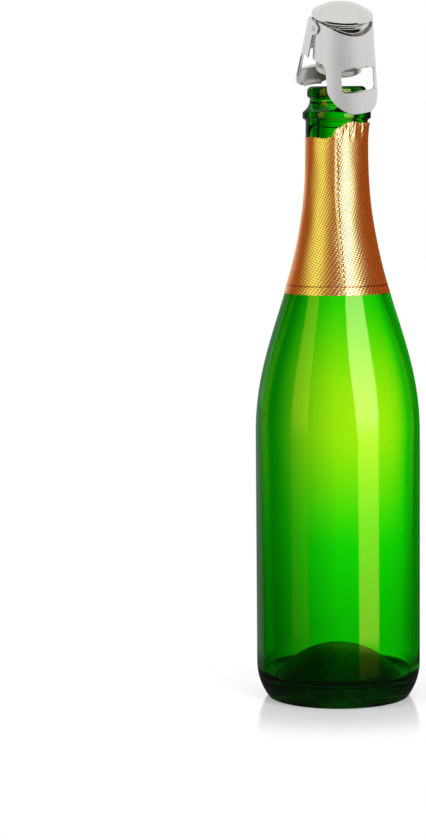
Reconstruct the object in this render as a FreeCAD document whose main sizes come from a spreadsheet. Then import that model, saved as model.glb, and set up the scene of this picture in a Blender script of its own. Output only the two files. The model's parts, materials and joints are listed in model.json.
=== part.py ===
import FreeCAD, Part
import math
import operator
import os

import Sketcher
from FreeCAD import Placement, Rotation, Vector

# Driving sizes in millimetres and degrees. Stopper heights are measured from its hinge line.
SIZES = {
    # Glass bottle
    "bottle_height": 301.5,
    "body_diameter": 81.0,
    "body_wall": 4.2,
    "shoulder_wall": 2.6,
    "heel_height": 17.0,
    "heel_inset": 5.8,
    "contact_ring_width": 2.6,
    "punt_depth": 20.5,
    "punt_thickness": 5.5,
    "trough_height": 10.0,
    "trough_radius": 5.0,
    "neck_length": 32.3,
    "shoulder_length": 137.3,
    "shoulder_handle": 48.4,
    "neck_handle": 64.8,
    "neck_foot_diameter": 30.5,
    "neck_top_diameter": 30.4,
    "neck_bore_diameter": 20.0,
    # Crown finish, measured down from the lip
    "mouth_bore_diameter": 17.5,
    "mouth_bore_length": 28.0,
    "mouth_round": 1.25,
    "lip_diameter": 28.8,
    "lip_round": 2.4,
    "lip_under_round": 0.7,
    "lip_depth": 5.3,
    "groove_diameter": 26.2,
    "groove_depth": 6.4,
    "collar_diameter": 33.4,
    "collar_depth": 15.9,
    "collar_edge": 2.1,
    "collar_under_round": 0.8,
    "collar_top_round": 1.0,
    "finish_cove": 12.0,
    # Foil sleeve
    "foil_thickness": 0.22,
    "foil_gap": 0.06,
    "foil_length": 101.2,
    "foil_torn_drop": 8.2,
    # Stopper cap and spring housing
    "cap_diameter": 30.0,
    "cap_crown": 10.6,
    "cap_dome_rise": 4.6,
    "cap_edge_round": 1.2,
    "cap_seat": 3.9,
    "cap_sheet": 1.0,
    "cap_lead": 0.4,
    "housing_diameter": 26.8,
    "housing_bottom": 17.5,
    "housing_bore": 19.2,
    "housing_roof": 2.5,
    "neck_cove_height": 1.8,
    "neck_cove_depth": 0.5,
    "neck_flange": 27.6,
    "neck_flange_edge": 0.4,
    "clip_well": 16.0,
    "clip_well_depth": 2.6,
    # Hinged arms
    "arm_radius": 15.1,
    "arm_nest_gap": 0.45,
    "arm_sheet": 0.8,
    "arm_flare": 0.055,
    "ear_radius": 3.1,
    "arm_length": 40.8,
    "arm_dip": 3.5,
    "arm_dip_width": 29.6,
    "shield_edge": 15.6,
    "shield_bottom": 19.6,
    "leg_outer": 29.0,
    "window_width": 19.0,
    "window_bottom": 30.4,
    "window_round": 1.6,
    "leg_foot": 30.0,
    "foot_width": 11.0,
    "foot_round": 13.5,
    "hook_reach": 1.6,
    "hook_thickness": 1.0,
    # Hinge pins and washers
    "pin_radius": 1.3,
    "pin_clearance": 0.05,
    "pin_inner_end": 11.6,
    "pin_proud": 0.15,
    "washer_radius": 2.6,
    "washer_thickness": 0.4,
    # Spring loaded seal
    "seal_travel": 2.6,
    "seal_stop_gap": 0.3,
    "cup_diameter": 22.4,
    "cup_height": 2.9,
    "cup_round": 0.6,
    "cup_skirt_length": 8.4,
    "cup_skirt_wall": 1.1,
    "cup_clearance": 0.08,
    "cup_web": 1.7,
    "gasket_diameter": 19.6,
    "gasket_clearance": 0.1,
    "gasket_depth": 2.0,
    "gasket_proud": 0.7,
    "gasket_round": 0.8,
    "stem_radius": 1.8,
    "stem_clearance": 0.08,
    "clip_radius": 3.6,
    "clip_thickness": 0.7,
    "clip_groove": 0.5,
    "clip_slot": 2.2,
    "clip_seat_gap": 0.05,
    "stem_end": 1.2,
    "stem_lead": 0.4,
    "spring_radius": 6.4,
    "spring_wire": 0.6,
    "spring_seat_gap": 0.03,
    # How the stopper sits on the mouth
    "hinge_above_lip": 29.7,
    "stopper_right": 2.55,
    "stopper_tilt": 20.2,
    "stopper_lean": 4.2,
    "stopper_turn": 34.9,
    "front_swing": 8.4,
    "rear_swing": 7.8,
    "rest_gap": 0.2,
}

# Points of the foil's torn edge, in parts of the neck's radius across and of the torn drop up.
TORN_EDGE = ((-0.75, 0.06), (-0.4, -0.04), (-0.14, 0.07), (-0.05, 0.51), (0.14, 0.66),
             (0.3, 0.91), (0.55, 0.96), (0.75, 0.87))

MARGIN = 60.0
OVERCUT = 1.0
SEAT_START = -18.0
SEAT_STEPS = 12
SEAT_TOLERANCE = 0.01
HALF_TURNS = 11
SPRING_STEP = 5

doc = FreeCAD.newDocument("champagne_bottle")
sheet = doc.addObject("Spreadsheet::Sheet", "Sizes")
for row, (alias, value) in enumerate(SIZES.items(), start=1):
    sheet.set(f"A{row}", alias.replace("_", " "))
    sheet.set(f"B{row}", str(value))
    sheet.setAlias(f"B{row}", alias)
doc.recompute()


class Dim:
    """A size with its present value and the sheet expression that drives it."""

    def __init__(self, value, text):
        self.value = value
        self.text = text

    @staticmethod
    def of(other):
        return other if isinstance(other, Dim) else Dim(float(other), repr(float(other)))

    @staticmethod
    def join(left, sign, act, right):
        left, right = Dim.of(left), Dim.of(right)
        return Dim(act(left.value, right.value), f"({left.text} {sign} {right.text})")

    def __add__(self, other):
        return Dim.join(self, "+", operator.add, other)

    def __radd__(self, other):
        return Dim.join(other, "+", operator.add, self)

    def __sub__(self, other):
        return Dim.join(self, "-", operator.sub, other)

    def __rsub__(self, other):
        return Dim.join(other, "-", operator.sub, self)

    def __mul__(self, other):
        return Dim.join(self, "*", operator.mul, other)

    def __rmul__(self, other):
        return Dim.join(other, "*", operator.mul, self)

    def __truediv__(self, other):
        return Dim.join(self, "/", operator.truediv, other)

    def __neg__(self):
        return Dim.join(0, "-", operator.sub, self)


def size(alias):
    return Dim(SIZES[alias], f"Sizes.{alias}")


def cap_arc(half_chord, rise):
    """Radius of the arc over a chord, from half the chord and the rise."""
    return (half_chord * half_chord + rise * rise) / (2 * rise)


ZERO = Dim.of(0)
COS30 = math.cos(math.radians(30))
SIN30 = math.sin(math.radians(30))


def new_body(label):
    body = doc.addObject("PartDesign::Body", label)
    body.Label = label
    return body


def new_sketch(body, role, name):
    sketch = body.newObject("Sketcher::SketchObject", name)
    plane = next(p for p in body.Origin.OriginFeatures if p.Role == role)
    sketch.AttachmentSupport = [(plane, "")]
    sketch.MapMode = "FlatFace"
    return sketch


def drive(sketch, kind, where, dim):
    """Adds one driven size to a sketch and ties it to the sheet."""
    index = sketch.addConstraint(Sketcher.Constraint(kind, *where, abs(dim.value)))
    text = dim.text if dim.value > 0 else (-dim).text
    sketch.renameConstraint(index, f"{kind.lower()}_{index}")
    sketch.setExpression(f"Constraints.{kind.lower()}_{index}", text)


def fix_point(sketch, point, x, y):
    """Holds a sketch point at x, y from the origin."""
    for kind, axis, dim in (("DistanceX", -2, x), ("DistanceY", -1, y)):
        if abs(dim.value) < 1e-9:
            sketch.addConstraint(Sketcher.Constraint("PointOnObject", *point, axis))
        elif dim.value > 0:
            drive(sketch, kind, (-1, 1, *point), dim)
        else:
            drive(sketch, kind, (*point, -1, 1), dim)


def arc_between(start, end, radius, turn):
    """Circle arc from start to end that turns left for turn 1 and right for turn -1."""
    chord = end - start
    left = Vector(-chord.y, chord.x, 0) / chord.Length
    centre = (start + end) / 2 + left * turn * math.sqrt(max(radius**2 - chord.Length**2 / 4, 0.0))
    first, last = (start, end) if turn > 0 else (end, start)
    angles = [math.atan2(p.y - centre.y, p.x - centre.x) for p in (first, last)]
    return Part.ArcOfCircle(Part.Circle(centre, Vector(0, 0, 1), radius), *angles)


def outline(sketch, steps):
    """Closed outline from steps: a start x, y, then a radius and turn for an arc or two poles for a curve."""
    corners = [Vector(step[0].value, step[1].value, 0) for step in steps]
    ends = []
    for step, start, end in zip(steps, corners, corners[1:] + corners[:1]):
        shape = step[2:]
        if not shape:
            index = sketch.addGeometry(Part.LineSegment(start, end))
            ends.append((index, 1, 2))
        elif isinstance(shape[0], Dim):
            radius, turn = shape
            index = sketch.addGeometry(arc_between(start, end, radius.value, turn))
            ends.append((index, 1, 2) if turn > 0 else (index, 2, 1))
            drive(sketch, "Radius", (index,), radius)
        else:
            poles = [Vector(x.value, y.value, 0) for x, y in shape]
            curve = Part.BSplineCurve()
            curve.buildFromPolesMultsKnots([start, *poles, end], [4, 4], [0.0, 1.0], False, 3)
            index = sketch.addGeometry(curve)
            ends.append((index, 1, 2))
            sketch.exposeInternalGeometry(index)
            for offset, (x, y) in enumerate(shape, start=2):
                fix_point(sketch, (index + offset, 3), x, y)
    for (index, begin, _), (last, _, finish), step in zip(ends, ends[-1:] + ends[:-1], steps):
        sketch.addConstraint(Sketcher.Constraint("Coincident", last, finish, index, begin))
        fix_point(sketch, (index, begin), step[0], step[1])


def hole(sketch, x, y, radius):
    index = sketch.addGeometry(Part.Circle(Vector(x.value, y.value, 0), Vector(0, 0, 1), radius.value))
    fix_point(sketch, (index, 3), x, y)
    drive(sketch, "Radius", (index,), radius)


def turned(body, name, steps, kind="PartDesign::Revolution"):
    """Turns an outline about the body's upright axis."""
    sketch = new_sketch(body, "XZ_Plane", f"{name}_outline")
    outline(sketch, steps)
    feature = body.newObject(kind, name)
    feature.Profile = sketch
    feature.ReferenceAxis = (sketch, ["V_Axis"])
    feature.Angle = 360
    return feature


def cut_across(body, name, role, draw):
    """Cuts a drawn outline right through the body, both ways from the plane."""
    sketch = new_sketch(body, role, f"{name}_outline")
    draw(sketch)
    feature = body.newObject("PartDesign::Pocket", name)
    feature.Profile = sketch
    feature.Type = "ThroughAll"
    feature.SideType = "Symmetric"
    return feature


def shoulder_curve(offset):
    """Start, poles and end of the bottle's shoulder, set off outwards by a distance."""
    high = size("bottle_height") - size("neck_length")
    low = high - size("shoulder_length")
    wide = size("body_diameter") / 2 + offset
    slim = size("neck_foot_diameter") / 2 + offset
    return (wide, low), (wide, low + size("shoulder_handle")), (slim, high - size("neck_handle")), (slim, high)


def bottle_glass():
    body = new_body("bottle_glass")
    top = size("bottle_height")
    radius = size("body_diameter") / 2
    inside = radius - size("body_wall")
    inside_top = radius - size("shoulder_wall")
    heel_side = size("heel_inset")
    ring_out = radius - heel_side
    ring_in = ring_out - size("contact_ring_width")
    punt = size("punt_depth")
    floor = punt + size("punt_thickness")
    heel = size("heel_height")
    trough = size("trough_height")
    corner = size("trough_radius")
    trough_r = inside - corner
    foot, pole_a, pole_b, head = shoulder_curve(ZERO)
    bore = size("mouth_bore_diameter") / 2
    neck_bore = size("neck_bore_diameter") / 2
    neck_top = size("neck_top_diameter") / 2
    collar = size("collar_diameter") / 2
    collar_z = top - size("collar_depth")
    under = size("collar_under_round")
    crest = size("collar_top_round")
    crest_z = collar_z + under + size("collar_edge")
    groove = size("groove_diameter") / 2
    groove_z = top - size("groove_depth")
    lip = size("lip_diameter") / 2
    lip_z = top - size("lip_depth")
    lip_under = size("lip_under_round")
    lip_round = size("lip_round")
    mouth = size("mouth_round")
    bore_end = top - size("mouth_bore_length")
    turned(body, "glass", [
        (ZERO, punt, cap_arc(ring_in, punt), -1),
        (ring_in, ZERO),
        (ring_out, ZERO, cap_arc(heel, heel_side), 1),
        (radius, heel),
        (*foot, pole_a, pole_b),
        head,
        (neck_top, collar_z - under),
        (collar - under, collar_z, under, 1),
        (collar, collar_z + under),
        (collar, crest_z, crest, 1),
        (collar - crest + crest * COS30, crest_z + crest * SIN30, size("finish_cove"), -1),
        (groove, groove_z),
        (groove, lip_z - lip_under),
        (lip - lip_under, lip_z, lip_under, 1),
        (lip, lip_z + lip_under),
        (lip, top - lip_round, lip_round, 1),
        (lip - lip_round, top),
        (bore + mouth, top, mouth, 1),
        (bore, top - mouth),
        (bore, bore_end),
        (neck_bore, head[1], (neck_bore, pole_b[1]), (inside_top, pole_a[1])),
        (inside_top, foot[1]),
        (inside, trough + corner, corner, -1),
        (trough_r, trough, cap_arc(trough_r, floor - trough), 1),
        (ZERO, floor),
    ])
    return body


def neck_foil():
    body = new_body("neck_foil")
    top = size("bottle_height") - size("collar_depth") - size("collar_under_round")
    inner = size("foil_gap")
    outer = inner + size("foil_thickness")
    neck_top = size("neck_top_diameter") / 2
    foot_in, a_in, b_in, head_in = shoulder_curve(inner)
    foot_out, a_out, b_out, head_out = shoulder_curve(outer)
    turned(body, "sleeve", [
        foot_in,
        (*foot_out, a_out, b_out),
        head_out,
        (neck_top + outer, top),
        (neck_top + inner, top),
        (*head_in, b_in, a_in),
    ])
    bottom = size("bottle_height") - size("foil_length")
    wide = size("body_diameter")
    turned(body, "lower_edge", [
        (neck_top / 2, bottom),
        (neck_top / 2, foot_in[1] / 2),
        (wide, foot_in[1] / 2),
        (wide, bottom),
    ], "PartDesign::Groove")
    drop = size("foil_torn_drop")
    torn = top - drop
    far = size("body_diameter") / 2

    def tear(sketch):
        edge = [(neck_top * across, torn + drop * up) for across, up in TORN_EDGE]
        outline(sketch, [(-far, top + MARGIN), (-far, torn), *edge, (far, edge[-1][1]), (far, top + MARGIN)])

    cut_across(body, "torn_edge", "XZ_Plane", tear)
    return body


def stopper_cap():
    body = new_body("stopper_cap")
    radius = size("cap_diameter") / 2
    crown = size("cap_crown")
    rise = size("cap_dome_rise")
    edge = size("cap_edge_round")
    seat = size("cap_seat")
    sheet_t = size("cap_sheet")
    lead = size("cap_lead")
    dome = radius - edge
    inner = radius - sheet_t - lead
    turned(body, "cap", [
        (ZERO, crown, cap_arc(dome, rise), -1),
        (dome, crown - rise, edge, -1),
        (radius, crown - rise - edge),
        (radius, seat + lead),
        (radius - lead, seat),
        (inner, seat),
        (inner, crown - rise - sheet_t, cap_arc(inner, rise), 1),
        (ZERO, crown - sheet_t),
    ])
    return body


def roof_heights():
    """Underside and top of the wall that carries the seal's stem."""
    top = size("cap_seat") - size("clip_well_depth")
    return top - size("housing_roof"), top


def spring_housing():
    body = new_body("spring_housing")
    radius = size("housing_diameter") / 2
    bore = size("housing_bore") / 2
    bottom = -size("housing_bottom")
    seat = size("cap_seat")
    flange = size("neck_flange") / 2
    flange_low = seat - size("neck_flange_edge")
    cove = size("neck_cove_height")
    stem = size("stem_radius") + size("stem_clearance")
    roof, roof_top = roof_heights()
    well = size("clip_well") / 2
    turned(body, "housing", [
        (bore, bottom),
        (radius, bottom),
        (radius, flange_low - cove, cap_arc(cove / 2, size("neck_cove_depth")), -1),
        (flange, flange_low),
        (flange, seat),
        (well, seat),
        (well, roof_top),
        (stem, roof_top),
        (stem, roof),
        (bore, roof),
    ])
    cut_across(body, "pin_holes", "YZ_Plane", lambda sketch: hole(sketch, ZERO, ZERO, size("pin_radius")))
    return body


def arm(label, radius):
    """One clamp arm: a flared sheet shield with two legs, a window, a foot band and an inward hook."""
    body = new_body(label)
    sheet_t = size("arm_sheet")
    flare = size("arm_flare")
    ear = size("ear_radius")
    bottom = size("arm_length")
    hook_top = bottom - size("hook_thickness")
    outer_top = radius - flare * ear
    outer_low = radius + flare * bottom
    inner_hook = radius + flare * hook_top - sheet_t
    turned(body, "shell", [
        (outer_low - sheet_t - size("hook_reach"), -bottom),
        (outer_low, -bottom),
        (outer_top, ear),
        (outer_top - sheet_t, ear),
        (inner_hook, -hook_top),
        (outer_low - sheet_t - size("hook_reach"), -hook_top),
    ])
    far = radius + MARGIN / 2

    def back_half(sketch):
        outline(sketch, [
            (-far, -bottom - OVERCUT),
            (ZERO, -bottom - OVERCUT),
            (ZERO, -ear, ear, -1),
            (-ear, ZERO, ear, -1),
            (ZERO, ear),
            (ZERO, ear + OVERCUT),
            (-far, ear + OVERCUT),
        ])

    def top_dip(sketch):
        half = size("arm_dip_width") / 2
        outline(sketch, [
            (-half, ear, cap_arc(half, ear + size("arm_dip")), 1),
            (half, ear),
            (half, ear + OVERCUT),
            (-half, ear + OVERCUT),
        ])

    def window(sketch):
        half = size("window_width") / 2
        low = -size("window_bottom")
        high = -size("shield_bottom")
        bend = size("window_round")
        outline(sketch, [
            (-half, low + bend, bend, 1),
            (-half + bend, low),
            (half - bend, low, bend, 1),
            (half, low + bend),
            (half, high - bend, bend, 1),
            (half - bend, high),
            (-half + bend, high, bend, 1),
            (-half, high - bend),
        ])

    def side(sign):
        def draw(sketch):
            leg = size("leg_outer") / 2
            foot = size("foot_width") / 2
            turn = 1 if sign > 0 else -1
            steps = [
                (far, -size("shield_edge")),
                (radius, -size("shield_edge")),
                (leg, -size("shield_bottom")),
                (leg, -size("leg_foot"), size("foot_round"), -turn),
                (foot, -bottom),
                (foot, -bottom - OVERCUT),
                (far, -bottom - OVERCUT),
            ]
            outline(sketch, [(step[0] if sign > 0 else -step[0], *step[1:]) for step in steps])
        return draw

    cut_across(body, "back_half", "YZ_Plane", back_half)
    cut_across(body, "top_dip", "XZ_Plane", top_dip)
    cut_across(body, "window", "XZ_Plane", window)
    cut_across(body, "right_side", "XZ_Plane", side(1))
    cut_across(body, "left_side", "XZ_Plane", side(-1))
    pivot = size("pin_radius") + size("pin_clearance")
    cut_across(body, "pivot_holes", "YZ_Plane", lambda sketch: hole(sketch, ZERO, ZERO, pivot))
    return body


def rear_radius():
    return size("arm_radius") + size("arm_nest_gap") + size("arm_sheet")


def hinge_pin(label):
    pin = doc.addObject("Part::Cylinder", label)
    pin.Label = label
    pin.setExpression("Radius", size("pin_radius").text)
    length = rear_radius() + size("pin_proud") - size("pin_inner_end")
    pin.setExpression("Height", length.text)
    return pin


def hinge_washer(label):
    body = new_body(label)
    bore = size("pin_radius") + size("pin_clearance")
    start = size("housing_diameter") / 2 + size("pin_clearance")
    end = start + size("washer_thickness")
    turned(body, "washer", [
        (bore, start),
        (size("washer_radius"), start),
        (size("washer_radius"), end),
        (bore, end),
    ])
    return body


def cup_heights():
    """Height of the cup flange's top, its underside, the seat of the gasket and the cup's floor."""
    flange_top = -size("housing_bottom") - size("seal_travel") - size("seal_stop_gap")
    flange_low = flange_top - size("cup_height")
    gasket_seat = flange_low + size("gasket_depth")
    return flange_top, flange_low, gasket_seat, gasket_seat + size("cup_web")


def seal_cup():
    body = new_body("seal_cup")
    flange_top, flange_low, gasket_seat, floor = cup_heights()
    radius = size("cup_diameter") / 2
    bend = size("cup_round")
    recess = size("gasket_diameter") / 2 + size("gasket_clearance")
    skirt = size("housing_bore") / 2 - size("cup_clearance")
    pocket = skirt - size("cup_skirt_wall")
    skirt_top = flange_top + size("cup_skirt_length")
    stem = size("stem_radius")
    turned(body, "cup", [
        (stem, gasket_seat),
        (recess, gasket_seat),
        (recess, flange_low),
        (radius - bend, flange_low, bend, 1),
        (radius, flange_low + bend),
        (radius, flange_top),
        (skirt, flange_top),
        (skirt, skirt_top),
        (pocket, skirt_top),
        (pocket, floor),
        (stem, floor),
    ])
    return body


def seal_gasket():
    body = new_body("seal_gasket")
    _, flange_low, gasket_seat, _ = cup_heights()
    radius = size("gasket_diameter") / 2
    face = flange_low - size("gasket_proud")
    bend = size("gasket_round")
    turned(body, "gasket", [
        (ZERO, gasket_seat),
        (ZERO, face),
        (radius - bend, face, bend, 1),
        (radius, face + bend),
        (radius, gasket_seat),
    ])
    return body


def clip_heights():
    low = roof_heights()[1] + size("clip_seat_gap")
    return low, low + size("clip_thickness")


def guide_stem():
    body = new_body("guide_stem")
    low = cup_heights()[2]
    clip_low, clip_top = clip_heights()
    radius = size("stem_radius")
    root = radius - size("clip_groove")
    end = clip_top + size("stem_end")
    lead = size("stem_lead")
    turned(body, "stem", [
        (ZERO, low),
        (radius, low),
        (radius, clip_low),
        (root, clip_low),
        (root, clip_top),
        (radius, clip_top),
        (radius, end - lead),
        (radius - lead, end),
        (ZERO, end),
    ])
    return body


def stem_clip():
    body = new_body("stem_clip")
    low, high = clip_heights()
    bore = size("stem_radius") - size("clip_groove")
    reach = size("clip_radius")
    turned(body, "ring", [(bore, low), (reach, low), (reach, high), (bore, high)])
    half = size("clip_slot") / 2

    def slot(sketch):
        outline(sketch, [(-half, ZERO), (half, ZERO), (half, reach * 2), (-half, reach * 2)])

    cut_across(body, "slot", "XY_Plane", slot)
    return body


def spring_half_turn(index, low, rise):
    """Half a turn of the spring: its wire turned about an axis that leans by the rise."""
    side = 1 if index % 2 == 0 else -1
    coil = size("spring_radius")
    start = low + index * rise
    wire = doc.addObject("Part::Circle", f"spring_wire_{index}")
    wire.setExpression("Radius", size("spring_wire").text)
    wire.Placement = Placement(Vector(), Rotation(Vector(1, 0, 0), 90))
    wire.setExpression("Placement.Base.x", (side * coil).text)
    wire.setExpression("Placement.Base.z", start.text)
    half = doc.addObject("Part::Revolution", f"spring_half_turn_{index}")
    half.Source = wire
    half.setExpression("Base.z", (start + rise / 2).text)
    half.setExpression("Axis.x", (side * rise).text)
    half.setExpression("Axis.z", (2 * coil).text)
    half.Angle = 180
    half.Solid = True
    return half


def seal_spring():
    """Round wire wound between the cup's floor and the housing's roof."""
    wire = size("spring_wire")
    gap = size("spring_seat_gap")
    low = cup_heights()[3] + wire + gap
    high = roof_heights()[0] - wire - gap
    rise = (high - low) / HALF_TURNS
    spring = doc.addObject("Part::MultiFuse", "seal_spring")
    spring.Label = "seal_spring"
    spring.Shapes = [spring_half_turn(index, low, rise) for index in range(HALF_TURNS)]
    spring.Refine = True
    return spring


def spring_gap():
    """Least gap between the spring's turns, measured on points along its half turns."""
    axis = [Vector(half.Axis) for half in spring.Shapes]
    starts = [half.Source.Placement.Base for half in spring.Shapes]
    points = [
        half.Base + Rotation(axis[k], degrees).multVec(starts[k] - half.Base)
        for k, half in enumerate(spring.Shapes)
        for degrees in range(0, 180, SPRING_STEP)
    ]
    apart = 180 // SPRING_STEP
    centres = min(
        point.distanceToPoint(other)
        for index, point in enumerate(points)
        for other in points[index + apart:]
    )
    return centres - 2 * SIZES["spring_wire"]


def stopper_turn():
    """Turn from the stopper's own axes, hinge line along x and front arm along y, to the bottle's."""
    lean = Rotation(Vector(0, 1, 0), SIZES["stopper_lean"])
    tilt = Rotation(Vector(1, 0, 0), SIZES["stopper_tilt"])
    return lean * tilt * Rotation(Vector(0, 0, 1), 180 + SIZES["stopper_turn"])


def stopper_place(depth):
    height = SIZES["bottle_height"] + SIZES["hinge_above_lip"]
    return Placement(Vector(SIZES["stopper_right"], depth, height), stopper_turn())


def swung(degrees):
    return Placement(Vector(), Rotation(Vector(1, 0, 0), degrees))


def seat_depth(arm_shape, glass_shape):
    """Depth at which the front arm's hook comes to rest on the collar."""
    depth = SEAT_START
    local = arm_shape.copy()
    for _ in range(SEAT_STEPS):
        local.Placement = stopper_place(depth) * swung(SIZES["front_swing"])
        gap = local.distToShape(glass_shape)[0] - SIZES["rest_gap"]
        if gap < SEAT_TOLERANCE:
            break
        depth += gap
    return depth


glass = bottle_glass()
foil = neck_foil()
cap = stopper_cap()
housing = spring_housing()
front = arm("front_arm", size("arm_radius"))
rear = arm("rear_arm", rear_radius())
near_pin = hinge_pin("near_hinge_pin")
far_pin = hinge_pin("far_hinge_pin")
near_washer = hinge_washer("near_hinge_washer")
far_washer = hinge_washer("far_hinge_washer")
cup = seal_cup()
gasket = seal_gasket()
stem = guide_stem()
clip = stem_clip()
spring = seal_spring()
doc.recompute()

seated = stopper_place(seat_depth(front.Shape, glass.Shape))
to_near = Placement(Vector(), Rotation(Vector(0, 1, 0), 90))
to_far = Placement(Vector(), Rotation(Vector(0, 1, 0), -90))
turn_back = Placement(Vector(), Rotation(Vector(0, 0, 1), 180))
pin_start = Placement(Vector(0, 0, SIZES["pin_inner_end"]), Rotation())
for piece in (cap, housing, cup, gasket, stem, clip, spring):
    piece.Placement = seated
front.Placement = seated * swung(SIZES["front_swing"])
rear.Placement = seated * turn_back * swung(SIZES["rear_swing"])
near_pin.Placement = seated * to_near * pin_start
far_pin.Placement = seated * to_far * pin_start
near_washer.Placement = seated * to_near
far_washer.Placement = seated * to_far
doc.recompute()

NODES = [glass, foil, cap, housing, front, rear, near_pin, far_pin, near_washer, far_washer,
         cup, gasket, stem, clip, spring]
for item in doc.Objects:
    bad = [flag for flag in item.State if flag in ("Invalid", "Error")]
    if bad:
        raise RuntimeError(f"{item.Label}: {bad}")
os.makedirs("parts", exist_ok=True)
for node in NODES:
    shape = node.Shape
    if shape.isNull() or not shape.isValid():
        raise RuntimeError(f"{node.Label} has no sound shape")
    shape.exportStep(f"parts/{node.Label}.step")
    box = shape.BoundBox
    print(node.Label, len(shape.Solids), round(shape.Volume, 2), [round(v, 2) for v in (
        box.XMin, box.XMax, box.YMin, box.YMax, box.ZMin, box.ZMax)])
print("stopper centre", seated.Base, "turn", seated.Rotation.toMatrix())
print("least gap between the spring's turns", round(spring_gap(), 3))
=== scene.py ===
import json
import math

import bmesh
import bpy
import numpy as np
from mathutils import Matrix, Vector, geometry


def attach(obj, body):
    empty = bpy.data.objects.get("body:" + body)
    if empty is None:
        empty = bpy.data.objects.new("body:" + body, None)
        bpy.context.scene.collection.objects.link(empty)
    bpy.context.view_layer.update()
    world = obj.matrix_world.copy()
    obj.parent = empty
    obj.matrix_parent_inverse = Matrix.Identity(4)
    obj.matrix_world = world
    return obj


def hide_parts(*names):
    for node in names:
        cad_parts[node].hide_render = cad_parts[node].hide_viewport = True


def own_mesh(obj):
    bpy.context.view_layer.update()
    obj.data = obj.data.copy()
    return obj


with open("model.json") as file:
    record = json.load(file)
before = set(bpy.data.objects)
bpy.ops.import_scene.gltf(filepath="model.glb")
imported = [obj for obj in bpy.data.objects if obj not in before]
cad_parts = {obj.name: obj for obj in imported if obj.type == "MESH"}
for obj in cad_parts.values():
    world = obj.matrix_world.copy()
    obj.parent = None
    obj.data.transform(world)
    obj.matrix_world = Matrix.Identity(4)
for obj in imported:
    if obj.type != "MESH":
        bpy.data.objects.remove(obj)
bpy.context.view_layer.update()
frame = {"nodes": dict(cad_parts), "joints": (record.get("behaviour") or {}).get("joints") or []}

MM = 0.001

# Bottle, in millimetres, from the plane it stands on.
BODY_RADIUS = 40.5
RING_OUTER = 34.7
RING_INNER = 32.1
HEEL = 17.0
PUNT = 20.5
FLOOR = 26.0
TROUGH = 10.0
TROUGH_ROUND = 5.0
BODY_WALL = 4.2
SHOULDER_WALL = 2.6
SHOULDER = (131.9, 269.2)
BODY_HANDLE = 48.4
NECK_HANDLE = 64.8
NECK_FOOT = 15.25
NECK_TOP = 15.2
NECK_BORE = 10.0
MOUTH_BORE = 8.75
BORE_LOW = 275.5
COLLAR = 16.7
COLLAR_LOW = 285.6
LIP = 14.4
LIP_LOW = 296.2
GROOVE = 13.1
TOP = 301.5

# Foil sleeve.
FOIL_LOW = 201.0
FOIL_PROUD = 0.17
FOIL_WALL = 0.09
FOIL_UNROLL = 17.0
DOTS_ACROSS = 1.85
DOTS_UP = 1.7
PRESSED_LINE = 4.1

# Stopper, in its own axes: hinge line along x, front arm along y, axis along z.
FRONT_SWING = 8.4
REAR_SWING = 7.8
ARM_RADIUS = 15.1
ARM_SHEET = 0.8
ARM_NEST = 0.45
ARM_FLARE = 0.055
ARM_LENGTH = 40.8
ARM_DIP = 3.5
ARM_DIP_HALF = 14.8
EAR = 3.1
PIVOT = 1.35
SHIELD_EDGE = 15.6
SHIELD_BOTTOM = 19.6
LEG_HALF = 14.5
LEG_FOOT = 30.0
FOOT_HALF = 5.5
FOOT_ROUND = 13.5
WINDOW_HALF = 9.5
WINDOW_BOTTOM = 30.4
WINDOW_ROUND = 1.6
HOOK_REACH = 1.6
HOOK_THICK = 1.0
ARM_MESH = 0.9
CAP_SEAT = 3.9
CAP_CROWN = 10.6
CAP_RISE = 4.6
CAP_RADIUS = 14.9
CAP_ROUND = 1.2
HOUSING_RADIUS = 13.1
HOUSING_BORE = 9.6
HOUSING_LOW = -17.5
HOUSING_NECK = 13.4
HOUSING_FLANGE = 13.8
WELL = 8.0
WELL_FLOOR = 1.3
ROOF = -1.2
STEM_HOLE = 1.88
CUP_RADIUS = 11.2
CUP_ROUND = 0.6
CUP_RIM = 9.9
CUP_TOP = -20.4
CUP_LOW = -23.3
CUP_FLOOR = -19.6
CUP_HOLE = 1.8
SLEEVE = 9.52
SLEEVE_BORE = 8.42
SLEEVE_TOP = -12.0
GASKET_RADIUS = 9.8
GASKET_ROUND = 0.8
GASKET_SEAT = -21.3
GASKET_FACE = -23.7
PIN_RADIUS = 1.3
PIN_START = 11.6
COIL_RADIUS = 6.4
COIL_WIRE = 0.6
COIL_LOW = -18.97
COIL_HIGH = -1.83
COIL_TURNS = 5.5

# Camera, in metres and degrees.
CAMERA_PLACE = (0.0, -1.409, 0.301)
CAMERA_TURN = 2.503
CAMERA_TILT = 6.596
CAMERA_ROLL = -0.47
CAMERA_LENS = 123.0

WHITE = (1.0, 1.0, 1.0, 1.0)


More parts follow.
